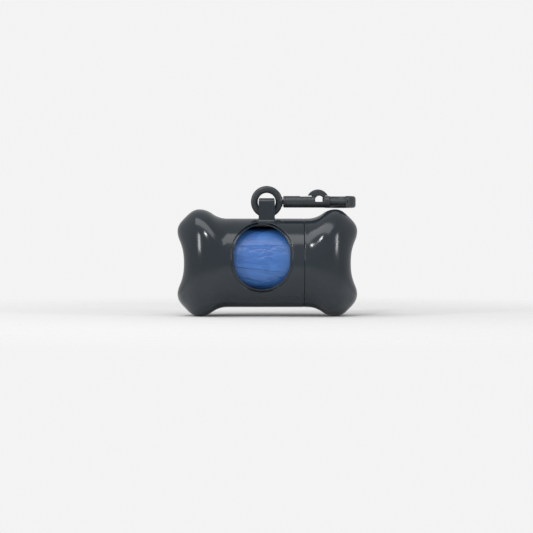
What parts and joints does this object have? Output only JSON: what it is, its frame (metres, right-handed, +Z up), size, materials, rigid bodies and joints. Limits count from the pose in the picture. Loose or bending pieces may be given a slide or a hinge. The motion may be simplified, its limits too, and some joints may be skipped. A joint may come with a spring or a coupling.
{
  "type": "waste bag dispenser",
  "caption": "Bone-shaped case for a roll of waste bags, with an oval dispensing hole, a screw-off end and a swivel clip with a sliding bolt.",
  "frame": {"origin": "centre of the case on the surface it stands on, under the flats of its two lower lobes", "axes": "+X along the bone towards the cap, +Z up towards the loop, -Y the front with the dispensing hole"},
  "size_m": [0.0828, 0.0408, 0.0598],
  "materials": {
    "case": "glossy moulded plastic",
    "clip": "satin moulded plastic",
    "bolt": "satin moulded plastic",
    "spring": "drawn wire",
    "spindle": "moulded plastic",
    "core": "plain tube",
    "bag_film": "thin plastic film"
  },
  "bodies": {
    "case": {"body_shell": "case"},
    "spindle": {"roll_spindle": "spindle"},
    "cap": {"cap_shell": "case"},
    "roll": {"roll_core": "core", "bag_roll": "bag_film", "bag_tail": "bag_film"},
    "eye": {"clip_eye": "clip"},
    "hook": {"clip_hook": "clip", "hook_bush": "clip", "bolt_spring": "spring"},
    "bolt": {"clip_bolt": "bolt", "thumb_ring": "clip"}
  },
  "joints": [
    {"name": "cap_pull_off", "type": "slide", "parent": "case", "child": "spindle", "axis": [1, 0, 0], "range_m": [0, 0.062]},
    {"name": "cap_unscrew", "type": "hinge", "parent": "spindle", "child": "cap", "pos_m": [0.03, 0, 0.0244], "axis": [1, 0, 0], "range_deg": [0, 450]},
    {"name": "roll_spin", "type": "hinge", "parent": "spindle", "child": "roll", "pos_m": [0, 0, 0.0244], "axis": [1, 0, 0], "continuous": true},
    {"name": "clip_swing", "type": "hinge", "parent": "case", "child": "eye", "pos_m": [-0.0003, 0, 0.0525], "axis": [0, -1, 0], "range_deg": [0, 140]},
    {"name": "clip_swivel", "type": "hinge", "parent": "eye", "child": "hook", "pos_m": [0.01, 0, 0.0525], "axis": [1, 0, 0], "range_deg": [0, 135]},
    {"name": "bolt_slide", "type": "slide", "parent": "hook", "child": "bolt", "axis": [-1, 0, 0], "range_m": [0, 0.0052], "stiffness_N_per_m": 120, "springref_m": -0.004, "deforming": ["bolt_spring"]}
  ]
}
